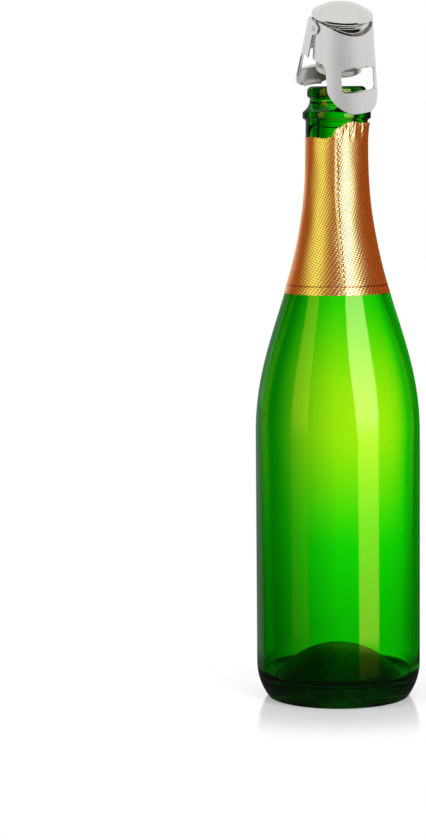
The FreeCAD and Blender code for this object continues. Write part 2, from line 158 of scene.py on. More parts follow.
class Flow:
    """A shader value that takes part in Python expressions."""

    def __init__(self, finish, socket):
        self.finish = finish
        self.socket = socket

    def math(self, operation, *values):
        return self.finish.node("ShaderNodeMath", {"operation": operation}, dict(enumerate(values)))

    def __add__(self, other):
        return self.math("ADD", self, other)

    def __radd__(self, other):
        return self.math("ADD", other, self)

    def __sub__(self, other):
        return self.math("SUBTRACT", self, other)

    def __rsub__(self, other):
        return self.math("SUBTRACT", other, self)

    def __mul__(self, other):
        return self.math("MULTIPLY", self, other)

    def __rmul__(self, other):
        return self.math("MULTIPLY", other, self)

    def __truediv__(self, other):
        return self.math("DIVIDE", self, other)

    def __pow__(self, other):
        return self.math("POWER", self, other)

    def __neg__(self):
        return self.math("MULTIPLY", self, -1.0)

    def step(self, low, high):
        """Smooth rise from 0 at low to 1 at high."""
        return self.finish.node("ShaderNodeMapRange", {"interpolation_type": "SMOOTHSTEP"},
                                {"Value": self, "From Min": low, "From Max": high})

    def apply(self, operation, *others):
        return self.math(operation, self, *others)


class Finish:
    """Builds one node tree, a node at a time."""

    def __init__(self, tree):
        self.tree = tree
        self.tree.nodes.clear()

    def node(self, kind, setup=None, values=None, out=0):
        node = self.tree.nodes.new(kind)
        for name, value in (setup or {}).items():
            setattr(node, name, value)
        for name, value in (values or {}).items():
            if isinstance(value, Flow):
                self.tree.links.new(value.socket, node.inputs[name])
            else:
                node.inputs[name].default_value = value
        return Flow(self, node.outputs[out])

    def parts(self, vector):
        split = self.node("ShaderNodeSeparateXYZ", None, {0: vector}).socket.node
        return [Flow(self, socket) for socket in split.outputs]

    def mix(self, factor, first, second):
        return self.node("ShaderNodeMix", {"data_type": "RGBA"}, {0: factor, 6: first, 7: second}, 2)

    def place(self):
        return self.node("ShaderNodeTexCoord", None, None, "Object")

    def noise(self, vector, scale, detail, rough=0.5):
        return self.node("ShaderNodeTexNoise", None,
                         {"Vector": vector, "Scale": scale, "Detail": detail, "Roughness": rough})

    def bump(self, height, strength, distance):
        return self.node("ShaderNodeBump", None,
                         {"Strength": strength, "Distance": distance, "Height": height})

    def stretch(self, vector, scale):
        return self.node("ShaderNodeMapping", None, {"Vector": vector, "Scale": scale})

    def end(self, surface, volume=None, kind="ShaderNodeOutputMaterial"):
        links = {"Surface": surface}
        if volume is not None:
            links["Volume"] = volume
        node = self.tree.nodes.new(kind)
        for name, value in links.items():
            self.tree.links.new(value.socket, node.inputs[name])


def new_finish(name):
    material = bpy.data.materials.new(name)
    material.use_nodes = True
    return material, Finish(material.node_tree)


def rgb(red, green, blue):
    return (red, green, blue, 1.0)


# Shapes

def arc(centre, radius, start, end, count):
    """Points of a circle arc, with angles in degrees from the outward direction."""
    return [(centre[0] + radius * math.cos(math.radians(a)), centre[1] + radius * math.sin(math.radians(a)))
            for a in np.linspace(start, end, count)]


def cubic(points, count):
    a, b, c, d = (np.array(p) for p in points)
    t = np.linspace(0.0, 1.0, count)[:, None]
    return [tuple(p) for p in (1 - t)**3 * a + 3 * (1 - t)**2 * t * b + 3 * (1 - t) * t**2 * c + t**3 * d]


def new_object(name, mesh, material):
    piece = bpy.data.objects.new(name, mesh)
    bpy.context.scene.collection.objects.link(piece)
    mesh.materials.clear()
    mesh.materials.append(material)
    return piece


def finish_mesh(mesh, work, sharp):
    """Closes seams, turns faces outwards and keeps edges sharper than an angle."""
    bmesh.ops.remove_doubles(work, verts=work.verts, dist=1e-7)
    bmesh.ops.recalc_face_normals(work, faces=work.faces)
    work.to_mesh(mesh)
    work.free()
    mesh.shade_smooth()
    mesh.set_sharp_from_angle(angle=math.radians(sharp))


def lathe(name, outline, material, segments, sharp, place=None):
    """Closed body turned from an outline of radius and height points in millimetres."""
    work = bmesh.new()
    angles = np.linspace(0.0, math.tau, segments, endpoint=False)
    rings = []
    for radius, height in outline:
        if radius < 1e-6:
            rings.append([work.verts.new((0, 0, height * MM))])
        else:
            rings.append([work.verts.new((radius * MM * math.cos(a), radius * MM * math.sin(a), height * MM))
                          for a in angles])
    for ring, following in zip(rings, rings[1:] + rings[:1]):
        for i in range(segments):
            j = (i + 1) % segments
            corners = [ring[i % len(ring)], ring[j % len(ring)],
                       following[j % len(following)], following[i % len(following)]]
            corners = list(dict.fromkeys(corners))
            if len(corners) > 2:
                work.faces.new(corners)
    if place is not None:
        work.transform(place)
    mesh = bpy.data.meshes.new(name)
    finish_mesh(mesh, work, sharp)
    return new_object(name, mesh, material)


def glass_radius(height):
    """Outer radius of the glass at a height on the shoulder or neck, in millimetres."""
    return float(np.interp(height, NECK_LINE[:, 1], NECK_LINE[:, 0]))


SHOULDER_OUT = cubic([(BODY_RADIUS, SHOULDER[0]), (BODY_RADIUS, SHOULDER[0] + BODY_HANDLE),
                      (NECK_FOOT, SHOULDER[1] - NECK_HANDLE), (NECK_FOOT, SHOULDER[1])], 72)
NECK_LINE = np.array(SHOULDER_OUT + [(NECK_TOP, COLLAR_LOW - 0.8)])


def glass_outline():
    """Outline of the glass: punt, ring, heel, body, neck, collar, lip, and the inside back to the floor."""
    inside = BODY_RADIUS - BODY_WALL
    inside_top = BODY_RADIUS - SHOULDER_WALL
    trough_r = inside - TROUGH_ROUND
    punt_r = (RING_INNER**2 + PUNT**2) / (2 * PUNT)
    punt_end = math.degrees(math.atan2(punt_r - PUNT, RING_INNER))
    heel_side = BODY_RADIUS - RING_OUTER
    heel_r = (HEEL**2 + heel_side**2) / (2 * heel_side)
    heel_start = -math.degrees(math.asin(HEEL / heel_r))
    rise = FLOOR - TROUGH
    dome_r = (trough_r**2 + rise**2) / (2 * rise)
    dome_start = math.degrees(math.atan2(dome_r - rise, trough_r))
    return [
        *arc((0, PUNT - punt_r), punt_r, 90, punt_end, 28),
        (RING_INNER + 0.15, 0.0), (RING_OUTER - 0.3, 0.0),
        *arc((BODY_RADIUS - heel_r, HEEL), heel_r, heel_start, 0, 24),
        *[(BODY_RADIUS, z) for z in np.linspace(HEEL + 4, SHOULDER[0] - 4, 12)],
        *SHOULDER_OUT,
        (NECK_TOP, COLLAR_LOW - 0.8),
        *arc((COLLAR - 0.8, COLLAR_LOW + 0.8), 0.8, -90, 0, 6),
        *arc((COLLAR - 1.0, COLLAR_LOW + 2.9), 1.0, 0, 50, 6),
        *cubic([(COLLAR - 0.75, COLLAR_LOW + 3.9), (COLLAR - 2.4, COLLAR_LOW + 5.4),
                (GROOVE, TOP - 9.0), (GROOVE, TOP - 6.0)], 12),
        *arc((LIP - 0.7, LIP_LOW + 0.7), 0.7, -90, 0, 6),
        *arc((LIP - 2.4, TOP - 2.4), 2.4, 0, 90, 12),
        *arc((MOUTH_BORE + 1.25, TOP - 1.25), 1.25, 90, 180, 8),
        (MOUTH_BORE, BORE_LOW + 11.5), (MOUTH_BORE, BORE_LOW), (MOUTH_BORE + 0.1, BORE_LOW - 1.5),
        *cubic([(NECK_BORE, SHOULDER[1]), (NECK_BORE, SHOULDER[1] - NECK_HANDLE),
                (inside_top, SHOULDER[0] + BODY_HANDLE), (inside_top, SHOULDER[0])], 60),
        *zip(np.linspace(inside_top, inside, 12)[1:-1],
             np.linspace(SHOULDER[0], TROUGH + TROUGH_ROUND, 12)[1:-1]),
        *arc((trough_r, TROUGH + TROUGH_ROUND), TROUGH_ROUND, 0, -90, 14),
        *arc((0, FLOOR - dome_r), dome_r, dome_start, 90, 28)[1:],
    ]


# Materials

def green_glass():
    """Green glass, rippled and smeared, with a darker tint in the base and at the lip that is partly the
    thicker glass and partly painted shade.
    """
    material, g = new_finish("green_bottle_glass")
    where = g.place()
    ripple = g.noise(g.stretch(where, (1.0, 1.0, 0.35)), 38.0, 2.0)
    smear = g.noise(g.stretch(where, (1.0, 1.0, 0.25)), 90.0, 4.0, 0.6)
    x, y, z = (way * 1000.0 for way in g.parts(where))
    square = x * x + y * y
    inside_floor = (z - FLOOR + 2.8 + square / 62.0).step(0.0, 1.0) * (1.0 - square.step(980.0, 1080.0))
    inside_floor = inside_floor * (1.0 - z.step(FLOOR + 2.0, FLOOR + 3.0))
    # Base tint: partly the thicker glass, partly painted shade.
    thick_base_and_shade = (1.0 - square.step(1000.0, 1120.0)) * (1.0 - z.step(FLOOR + 2.0, FLOOR + 3.0))
    # Lip tint: partly the thicker glass, partly painted shade.
    finish = z.step(LIP_LOW - 1.0, LIP_LOW)
    clear = g.mix(finish, rgb(0.98, 1.0, 0.97), rgb(0.42, 0.46, 0.42))
    surface = g.node("ShaderNodeBsdfPrincipled", None, {
        "Base Color": g.mix(thick_base_and_shade, clear, rgb(0.12, 0.2, 0.14)), "IOR": 1.52,
        "Roughness": 0.004 + 0.02 * smear.step(0.55, 0.8) + inside_floor * 0.4,
        "Transmission Weight": 1.0, "Normal": g.bump(ripple, 0.12, 0.0006)})
    volume = g.node("ShaderNodeVolumeAbsorption", None, {"Color": rgb(0.667, 0.932, 0.0), "Density": 900.0})
    g.end(surface, volume)
    return material


def gold_foil():
    """Embossed gold foil: a slanting dot grid that follows the sleeve, with painted shade in the hollows
    between the dots, and a thin pressed line low down painted dark as shade.
    """
    material, g = new_finish("embossed_gold_foil")
    where = g.place()
    unrolled = g.node("ShaderNodeUVMap", {"uv_map": "unrolled"})
    across, up, _ = g.parts(unrolled)
    first = ((across + up * 0.45) * (math.tau / DOTS_ACROSS)).apply("SINE")
    second = ((up - across * 0.3) * (math.tau / DOTS_UP)).apply("SINE")
    dots = (first * second) * 0.5 + 0.5
    line = 1.0 - (up - PRESSED_LINE).apply("ABSOLUTE").step(0.12, 0.42)
    tone = g.noise(where, 55.0, 3.0)
    worn = g.noise(where, 240.0, 4.0, 0.65)
    # Hollows between the dots: painted shade, a darker brown with a random tone.
    shaded_hollow = g.mix(tone, rgb(0.48, 0.19, 0.03), rgb(0.58, 0.26, 0.05))
    gilt = g.mix(dots.step(0.25, 0.6), shaded_hollow, rgb(0.98, 0.68, 0.26))
    # Pressed line: painted shade, a dark brown in the crease.
    colour = g.mix(line * 0.85, gilt, rgb(0.2, 0.06, 0.02))
    height = dots - line * 1.4 + worn * 0.06
    surface = g.node("ShaderNodeBsdfPrincipled", None, {
        "Base Color": colour, "Metallic": 1.0, "Roughness": 0.24 + worn * 0.08,
        "Normal": g.bump(height, 0.45, 0.0002)})
    g.end(surface)
    return material


def bright_plate(name, colour, rough, grain):
    """Plated metal with a faint drawn grain and soft wear."""
    material, g = new_finish(name)
    where = g.place()
    drawn = g.noise(g.stretch(where, grain), 300.0, 3.0, 0.6)
    haze = g.noise(where, 70.0, 4.0, 0.6)
    surface = g.node("ShaderNodeBsdfPrincipled", None, {
        "Base Color": g.mix(haze, rgb(*colour), rgb(*(c * 0.94 for c in colour))),
        "Metallic": 1.0,
        "Roughness": rough + haze * 0.08 + drawn * 0.04,
        "Normal": g.bump(drawn, 0.05, 0.0001)})
    g.end(surface)
    return material


def moulded(name, colour, rough):
    """Moulded rubber or plastic with a fine skin."""
    material, g = new_finish(name)
    where = g.place()
    skin = g.noise(where, 1800.0, 2.0)
    bloom = g.noise(where, 120.0, 4.0, 0.6)
    surface = g.node("ShaderNodeBsdfPrincipled", None, {
        "Base Color": g.mix(bloom, rgb(*colour), rgb(*(c * 1.5 for c in colour))),
        "Roughness": rough + bloom * 0.15, "Normal": g.bump(skin, 0.2, 0.0001)})
    g.end(surface)
    return material


GLASS = green_glass()
FOIL = gold_foil()
CHROME = bright_plate("satin_chrome", (0.80, 0.79, 0.78), 0.24, (0.2, 0.2, 1.0))
POLISHED = bright_plate("polished_chrome", (0.80, 0.79, 0.78), 0.04, (0.2, 0.2, 1.0))
STEEL = bright_plate("drawn_steel", (0.60, 0.60, 0.60), 0.28, (1.0, 1.0, 0.1))
RUBBER = moulded("seal_rubber", (0.05, 0.05, 0.05), 0.6)
PLASTIC = moulded("washer_plastic", (0.09, 0.09, 0.09), 0.5)


# Bottle

bottle = lathe("bottle_glass_turned", glass_outline(), GLASS, 224, 60.0)


def foil_top(angle):
    """Height of the torn edge at an angle from the front, in millimetres."""
    side = math.sin(angle)
    edge = np.interp(side, [-1.0, -0.75, -0.4, -0.14, -0.05, 0.14, 0.3, 0.55, 0.75, 1.0],
                     [276.6, 277.1, 276.3, 277.2, 280.8, 282.0, 284.1, 284.5, 283.7, 283.9])
    jag = (0.28 * math.sin(angle * 41.0) + 0.2 * math.sin(angle * 97.0 + 1.0)
           + 0.14 * math.sin(angle * 173.0))
    return float(edge) + jag * (0.5 if side < -0.2 else 1.0)


def foil_push(angle, height):
    """How far the foil stands out from the neck, in millimetres, with seam, pleats and dents."""
    front = np.interp(height, [200.0, 224.0, 249.0, 273.0, 285.0], [6.1, 3.6, -2.0, -2.0, -1.0])
    radius = glass_radius(height)
    along = (math.degrees(angle) - front) * math.pi / 180.0 * radius
    ridge = 0.26 * math.exp(-(along / 0.36)**2)
    valley = 0.1 * math.exp(-((along - 0.8) / 0.4)**2)
    lap = 0.08 if along < 0 else 0.0
    folds = 0.0
    if 0.3 < along < 2.5:
        drift = along * 2.6 + height * 2.7 + 1.6 * math.sin(height * 0.31)
        depth = 0.1 * (1.2 + math.sin(height * 0.33 + 1.0))
        folds = depth * math.sin(drift) * math.sin(math.pi * (along - 0.3) / 2.2)
    torn = max(0.0, 1.0 - (foil_top(angle) - height) / 12.0)**2
    right = max(0.0, math.sin(angle) + 0.12) if math.cos(angle) > -0.4 else 0.0
    wave = 0.55 * math.sin(angle * 19.0 + height * 0.12) + 0.35 * math.sin(angle * 33.0 - height * 0.2)
    pleats = torn * min(1.0, right * 2.2) * wave
    dents = (0.05 * math.sin(angle * 7.0 + height * 0.21)
             + 0.04 * math.sin(angle * 11.0 - height * 0.13 + 2.0))
    return FOIL_PROUD + max(-0.12, ridge - valley + lap + folds + pleats + dents * 0.8)


def foil_columns():
    """Angles of the sleeve's columns: close together at the seam and wide apart at the back."""
    spans = ((-180, -90, 41), (-90, -8, 102), (-8, 16, 60), (16, 90, 106), (90, 180, 41))
    return [math.radians(angle) for low, high, count in spans
            for angle in np.linspace(low, high, count, endpoint=False)]


def neck_foil():
    """Foil sleeve round the neck, with a map of its unrolled surface in millimetres."""
    angles = foil_columns()
    columns, rows = len(angles), 140
    work = bmesh.new()
    unrolled = work.loops.layers.uv.new("unrolled")
    grid, places = [], {}
    for angle in angles:
        top = foil_top(angle)
        line = []
        for j in range(rows + 1):
            height = FOIL_LOW + (top - FOIL_LOW) * j / rows
            radius = glass_radius(height) + foil_push(angle, height)
            spot = (radius * math.sin(angle) * MM, -radius * math.cos(angle) * MM, height * MM)
            vert = work.verts.new(spot)
            places[vert] = (angle * FOIL_UNROLL, height - FOIL_LOW)
            line.append(vert)
        grid.append(line)
    for i in range(columns):
        after = (i + 1) % columns
        for j in range(rows):
            face = work.faces.new((grid[i][j], grid[after][j], grid[after][j + 1], grid[i][j + 1]))
            for loop in face.loops:
                across, up = places[loop.vert]
                if after == 0 and across < 0:
                    across += math.tau * FOIL_UNROLL
                loop[unrolled].uv = (across, up)
    mesh = bpy.data.meshes.new("neck_foil_sleeve")
    finish_mesh(mesh, work, 70.0)
    piece = new_object("neck_foil_sleeve", mesh, FOIL)
    wall = piece.modifiers.new("foil_wall", "SOLIDIFY")
    wall.thickness = FOIL_WALL * MM
    wall.offset = -1.0
    return piece


foil = neck_foil()


# Stopper

JOINTS = {joint["name"]: joint for joint in frame["joints"]}
STOPPER_X = Vector(JOINTS["front_arm_swing"]["axis"])
STOPPER_Z = Vector(JOINTS["seal_press"]["axis"])
STOPPER_Y = STOPPER_Z.cross(STOPPER_X)
STOPPER_TURN = Matrix((STOPPER_X, STOPPER_Y, STOPPER_Z)).transposed().to_4x4()
STOPPER = Matrix.Translation(JOINTS["front_arm_swing"]["pos_m"]) @ STOPPER_TURN
SEAL_TRAVEL = JOINTS["seal_press"]["range_m"][1] / MM


def stopper_cap():
    dome = CAP_RADIUS - CAP_ROUND
    low = CAP_CROWN - CAP_RISE
    sphere = (dome**2 + CAP_RISE**2) / (2 * CAP_RISE)
    start = math.degrees(math.acos(dome / sphere))
    inner = CAP_RADIUS - 1.4
    sphere_in = (inner**2 + CAP_RISE**2) / (2 * CAP_RISE)
    start_in = math.degrees(math.acos(inner / sphere_in))
    return lathe("stopper_cap_dome", [
        *arc((0, CAP_CROWN - sphere), sphere, 90, start, 30),
        *arc((dome, low - CAP_ROUND), CAP_ROUND, 80, 0, 9),
        (CAP_RADIUS, CAP_SEAT + 0.4), (CAP_RADIUS - 0.15, CAP_SEAT + 0.1), (CAP_RADIUS - 0.4, CAP_SEAT),
        (inner, CAP_SEAT),
        *arc((0, CAP_CROWN - 1.0 - sphere_in), sphere_in, start_in, 90, 20),
    ], POLISHED, 160, 35.0, STOPPER)


def spring_housing():
    cove_low, flange_low = CAP_SEAT - 2.2, CAP_SEAT - 0.4
    return lathe("spring_housing_turned", [
        (HOUSING_BORE, HOUSING_LOW), (HOUSING_RADIUS - 0.2, HOUSING_LOW), (HOUSING_RADIUS, HOUSING_LOW + 0.2),
        (HOUSING_RADIUS, -2.0), (HOUSING_NECK, 0.9), (HOUSING_NECK, cove_low),
        *cubic([(HOUSING_NECK, cove_low), (HOUSING_NECK - 0.65, cove_low + 0.4),
                (HOUSING_NECK - 0.5, flange_low - 0.25), (HOUSING_FLANGE, flange_low)], 10)[1:],
        (HOUSING_FLANGE, CAP_SEAT), (WELL, CAP_SEAT), (WELL, WELL_FLOOR), (STEM_HOLE, WELL_FLOOR),
        (STEM_HOLE, ROOF), (HOUSING_BORE, ROOF),
    ], POLISHED, 160, 35.0, STOPPER)


def seal_cup():
    return lathe("seal_cup_turned", [
        (CUP_HOLE, GASKET_SEAT), (CUP_RIM, GASKET_SEAT), (CUP_RIM, CUP_LOW),
        *arc((CUP_RADIUS - CUP_ROUND, CUP_LOW + CUP_ROUND), CUP_ROUND, -90, 0, 6),
        (CUP_RADIUS, CUP_TOP - 0.15), (CUP_RADIUS - 0.15, CUP_TOP),
        (SLEEVE, CUP_TOP), (SLEEVE, SLEEVE_TOP), (SLEEVE_BORE, SLEEVE_TOP), (SLEEVE_BORE, CUP_FLOOR),
        (CUP_HOLE, CUP_FLOOR),
    ], CHROME, 128, 35.0, STOPPER)


def seal_gasket():
    return lathe("seal_gasket_moulded", [
        (0, GASKET_SEAT), (0, GASKET_FACE), (6.5, GASKET_FACE - 0.05), (7.0, GASKET_FACE - 0.3),
        *arc((GASKET_RADIUS - GASKET_ROUND, GASKET_FACE + 0.5), GASKET_ROUND, -90, 0, 6),
        (GASKET_RADIUS, GASKET_SEAT),
    ], RUBBER, 128, 35.0, STOPPER)


def hinge_pin(name, side):
    place = STOPPER @ Matrix.Rotation(math.radians(90.0 * side), 4, "Y")
    end = ARM_RADIUS + ARM_NEST + ARM_SHEET + 0.15
    return lathe(name, [
        (0, PIN_START), (PIN_RADIUS, PIN_START), (PIN_RADIUS, end - 0.25), (PIN_RADIUS - 0.1, end - 0.08),
        (PIN_RADIUS - 0.4, end + 0.02), (0, end + 0.08),
    ], STEEL, 64, 35.0, place)


def wound_wire(path_steps, wire_steps):
    """Node tree that winds round wire along a spiral, and the identifiers of its size inputs."""
    tree = bpy.data.node_groups.new("wound_wire", "GeometryNodeTree")
    inputs = {}
    for name in ("Coil Radius", "Wire Radius", "Rise", "Turns"):
        socket = tree.interface.new_socket(name, in_out="INPUT", socket_type="NodeSocketFloat")
        inputs[name] = socket.identifier
    tree.interface.new_socket("Wire", in_out="OUTPUT", socket_type="NodeSocketGeometry")
    kinds = ("NodeGroupInput", "GeometryNodeCurveSpiral", "GeometryNodeCurvePrimitiveCircle",
             "GeometryNodeCurveToMesh", "GeometryNodeRealizeInstances", "GeometryNodeSetMaterial",
             "NodeGroupOutput")
    sizes, path, ring, tube, real, finish, wire = (tree.nodes.new(kind) for kind in kinds)
    path.inputs["Resolution"].default_value = path_steps
    ring.inputs["Resolution"].default_value = wire_steps
    tube.inputs["Fill Caps"].default_value = True
    finish.inputs["Material"].default_value = STEEL
    for start, end in (
            (sizes.outputs["Coil Radius"], path.inputs["Start Radius"]),
            (sizes.outputs["Coil Radius"], path.inputs["End Radius"]),
            (sizes.outputs["Rise"], path.inputs["Height"]),
            (sizes.outputs["Turns"], path.inputs["Rotations"]),
            (sizes.outputs["Wire Radius"], ring.inputs["Radius"]),
            (path.outputs["Curve"], tube.inputs["Curve"]),
            (ring.outputs["Curve"], tube.inputs["Profile Curve"]),
            (tube.outputs["Mesh"], real.inputs["Geometry"]),
            (real.outputs["Geometry"], finish.inputs["Geometry"]),
            (finish.outputs["Geometry"], wire.inputs["Wire"])):
        tree.links.new(start, end)
    return tree, inputs


def seal_spring():
    """Spring wound between the cup's floor and the housing's roof."""
    tree, inputs = wound_wire(48, 16)
    piece = new_object("seal_spring_wound", bpy.data.meshes.new("seal_spring_path"), STEEL)
    winding = piece.modifiers.new("winding", "NODES")
    winding.node_group = tree
    for name, value in (("Coil Radius", COIL_RADIUS * MM), ("Wire Radius", COIL_WIRE * MM),
                        ("Rise", (COIL_HIGH - COIL_LOW) * MM), ("Turns", COIL_TURNS)):
        winding[inputs[name]] = value
    graph = bpy.context.evaluated_depsgraph_get()
    mesh = bpy.data.meshes.new_from_object(piece.evaluated_get(graph))
    piece.modifiers.remove(winding)
    piece.data = mesh
    work = bmesh.new()
    work.from_mesh(mesh)
    work.transform(STOPPER @ Matrix.Translation((0.0, 0.0, COIL_LOW * MM)))
    finish_mesh(mesh, work, 40.0)
    return piece


def rounded(corners, radius, count=6):
    """Closed outline with its corners rounded."""
    points = []
    for index, corner in enumerate(corners):
        before = np.array(corners[index - 1]) - corner
        after = np.array(corners[(index + 1) % len(corners)]) - corner
        start = corner + before / np.linalg.norm(before) * radius
        end = corner + after / np.linalg.norm(after) * radius
        for t in np.linspace(0, 1, count):
            points.append(tuple((1 - t)**2 * start + 2 * t * (1 - t) * np.array(corner) + t**2 * end))
    return points


def arm_outline(radius):
    """Half outline of an arm as angle and height, from its top middle to its bottom middle."""
    def angle(x, z):
        return math.asin(max(-1.0, min(1.0, x / (radius - ARM_FLARE * z))))

    dip_r = (ARM_DIP_HALF**2 + (EAR + ARM_DIP)**2) / (2 * (EAR + ARM_DIP))
    points = []
    for x in np.linspace(0.0, ARM_DIP_HALF, 30):
        z = -ARM_DIP + dip_r - math.sqrt(dip_r**2 - x**2)
        points.append((angle(x, z), z))
    points += [(a, EAR) for a in np.linspace(points[-1][0], math.pi / 2, 10)[1:-1]]
    for turn in np.linspace(90, -90, 22):
        y, z = -EAR * math.cos(math.radians(turn)), EAR * math.sin(math.radians(turn))
        points.append((math.acos(max(-1.0, y / (radius - ARM_FLARE * z))), z))
    points += [(math.pi / 2, z) for z in np.linspace(-EAR - 0.6, -SHIELD_EDGE + 0.4, 12)]
    for x, z in ((radius + 0.3, -SHIELD_EDGE), (radius, -SHIELD_EDGE - 0.2),
                 (LEG_HALF + 0.1, -SHIELD_BOTTOM + 0.4)):
        points.append((angle(x, z), z))
    points += [(angle(LEG_HALF, z), z) for z in np.linspace(-SHIELD_BOTTOM, -LEG_FOOT, 14)]
    start, end = np.array((LEG_HALF, -LEG_FOOT)), np.array((FOOT_HALF, -ARM_LENGTH))
    chord = end - start
    length = float(np.linalg.norm(chord))
    inward = np.array((chord[1], -chord[0])) / length
    centre = (start + end) / 2 + inward * math.sqrt(FOOT_ROUND**2 - length**2 / 4)
    first = math.atan2(*(start - centre)[::-1])
    last = math.atan2(*(end - centre)[::-1])
    for a in np.linspace(first, last, 20)[1:]:
        x, z = centre + FOOT_ROUND * np.array((math.cos(a), math.sin(a)))
        points.append((angle(x, z), z))
    points += [(angle(x, -ARM_LENGTH), -ARM_LENGTH) for x in np.linspace(FOOT_HALF, 0.0, 10)[1:]]
    return points


def within(spot, rim):
    """Whether a flat spot lies inside a closed rim of points."""
    inside = False
    for (ax, ay), (bx, by) in zip(rim, rim[1:] + rim[:1]):
        if (ay > spot[1]) != (by > spot[1]) and spot[0] < ax + (spot[1] - ay) * (bx - ax) / (by - ay):
            inside = not inside
    return inside


def clamp_arm(name, radius, swing, turn):
    """Sheet metal arm bent round the stopper, with window, ears and inward hook."""
    half = arm_outline(radius)
    outer = half + [(-a, z) for a, z in half[-2:0:-1]]
    window = [(math.asin(x / (radius - ARM_FLARE * z)), z) for x, z in rounded([
        (-WINDOW_HALF, -WINDOW_BOTTOM), (WINDOW_HALF, -WINDOW_BOTTOM), (WINDOW_HALF, -SHIELD_BOTTOM),
        (-WINDOW_HALF, -SHIELD_BOTTOM)], WINDOW_ROUND)]
    loops = [outer, window]
    for side in (-1, 1):
        loops.append([(side * math.acos(PIVOT * math.cos(t) / radius), PIVOT * math.sin(t))
                      for t in np.linspace(0, math.tau, 20, endpoint=False)])
    points, edges = [], []
    for loop in loops:
        base = len(points)
        points += [Vector((a * radius, z)) for a, z in loop]
        edges += [(base + i, base + (i + 1) % len(loop)) for i in range(len(loop))]
    border = np.array([tuple(p) for p in points])
    for u in np.arange(-27.0, 27.01, ARM_MESH):
        for z in np.arange(-40.4, 3.2, ARM_MESH):
            if np.min(np.hypot(border[:, 0] - u, border[:, 1] - z)) > 0.5:
                points.append(Vector((u, z)))
    flat = geometry.delaunay_2d_cdt(points, edges, [], 1, 1e-6)
    spots = flat[0]
    rims = [[(a * radius, z) for a, z in loop] for loop in loops]
    faces = []
    for face in flat[2]:
        middle = sum((spots[i] for i in face), Vector((0, 0))) / len(face)
        if within(middle, rims[0]) and not any(within(middle, rim) for rim in rims[1:]):
            faces.append(face)

    def lay(spot, inset):
        a, z = spot[0] / radius, spot[1]
        r = radius - ARM_FLARE * z - inset
        return (r * math.sin(a) * MM, r * math.cos(a) * MM, z * MM)

    work = bmesh.new()
    front = [work.verts.new(lay(p, 0.0)) for p in spots]
    back = [work.verts.new(lay(p, ARM_SHEET)) for p in spots]
    seen = {}
    for face in faces:
        work.faces.new([front[i] for i in face])
        work.faces.new([back[i] for i in reversed(face)])
        for a, b in zip(face, list(face[1:]) + [face[0]]):
            seen[(a, b)] = True
    for a, b in seen:
        if (b, a) not in seen:
            work.faces.new((front[b], front[a], back[a], back[b]))
    hook = []
    low_r = radius + ARM_FLARE * ARM_LENGTH - ARM_SHEET + 0.1
    limit = math.asin(FOOT_HALF / low_r)
    tip_r = low_r - HOOK_REACH - 0.1
    hook_top = -ARM_LENGTH + HOOK_THICK
    section = ((low_r, -ARM_LENGTH), (low_r, hook_top), (tip_r, hook_top), (tip_r, -ARM_LENGTH))
    for a in np.linspace(-limit, limit, 24):
        hook.append([work.verts.new((r * math.sin(a) * MM, r * math.cos(a) * MM, z * MM))
                     for r, z in section])
    for first, second in zip(hook, hook[1:]):
        for i in range(4):
            j = (i + 1) % 4
            work.faces.new((first[i], first[j], second[j], second[i]))
    work.faces.new(hook[0])
    work.faces.new(hook[-1])
    work.transform(STOPPER @ Matrix.Rotation(turn, 4, "Z") @ Matrix.Rotation(math.radians(swing), 4, "X"))
    mesh = bpy.data.meshes.new(name)
    finish_mesh(mesh, work, 45.0)
    piece = new_object(name, mesh, CHROME)
    soften = piece.modifiers.new("edge_round", "BEVEL")
    soften.width = 0.16 * MM
    soften.segments = 2
    soften.limit_method = "ANGLE"
    soften.angle_limit = math.radians(50.0)
    return piece


cap = stopper_cap()
housing = spring_housing()
cup = seal_cup()
gasket = seal_gasket()
spring = seal_spring()
near_pin = hinge_pin("near_hinge_pin_turned", 1.0)
far_pin = hinge_pin("far_hinge_pin_turned", -1.0)
front_arm = clamp_arm("front_arm_sheet", ARM_RADIUS, FRONT_SWING, 0.0)
rear_arm = clamp_arm("rear_arm_sheet", ARM_RADIUS + ARM_NEST + ARM_SHEET, REAR_SWING, math.pi)

for piece, body, node, slot in (
        (bottle, "bottle", "bottle_glass", "green_glass"),
        (foil, "bottle", "neck_foil", "gold_foil"),
        (cap, "stopper", "stopper_cap", "chrome"),
        (housing, "stopper", "spring_housing", "chrome"),
        (near_pin, "stopper", "near_hinge_pin", "steel"),
        (far_pin, "stopper", "far_hinge_pin", "steel"),
        (cup, "seal", "seal_cup", "chrome"),
        (gasket, "seal", "seal_gasket", "seal_rubber"),
        (spring, "stopper", "seal_spring", "steel"),
        (front_arm, "front_arm", "front_arm", "chrome"),
        (rear_arm, "rear_arm", "rear_arm", "chrome")):
    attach(piece, body)
    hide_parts(node)
1.0 - SEAL_TRAVEL / (ROOF - COIL_LOW + COIL_WIRE)
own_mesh(spring)
for node, material in (("near_hinge_washer", PLASTIC), ("far_hinge_washer", PLASTIC), ("guide_stem", STEEL),
                       ("stem_clip", STEEL)):
    frame["nodes"][node].data.materials.clear()
    frame["nodes"][node].data.materials.append(material)


# Studio

def ray_kinds(g):
    """Whether the camera, a reflection or the inside of the glass is looking."""
    light = g.node("ShaderNodeLightPath").socket.node
    names = ("Is Camera Ray", "Is Glossy Ray", "Is Transmission Ray")
    return [Flow(g, light.outputs[name]) for name in names]


def glow(g, strength, colour=WHITE):
    return g.node("ShaderNodeEmission", None, {"Color": colour, "Strength": strength})


def see_through(g):
    return g.node("ShaderNodeBsdfTransparent", None, {"Color": WHITE})


def blend(g, factor, first, second):
    return g.node("ShaderNodeMixShader", None, {0: factor, 1: first, 2: second})


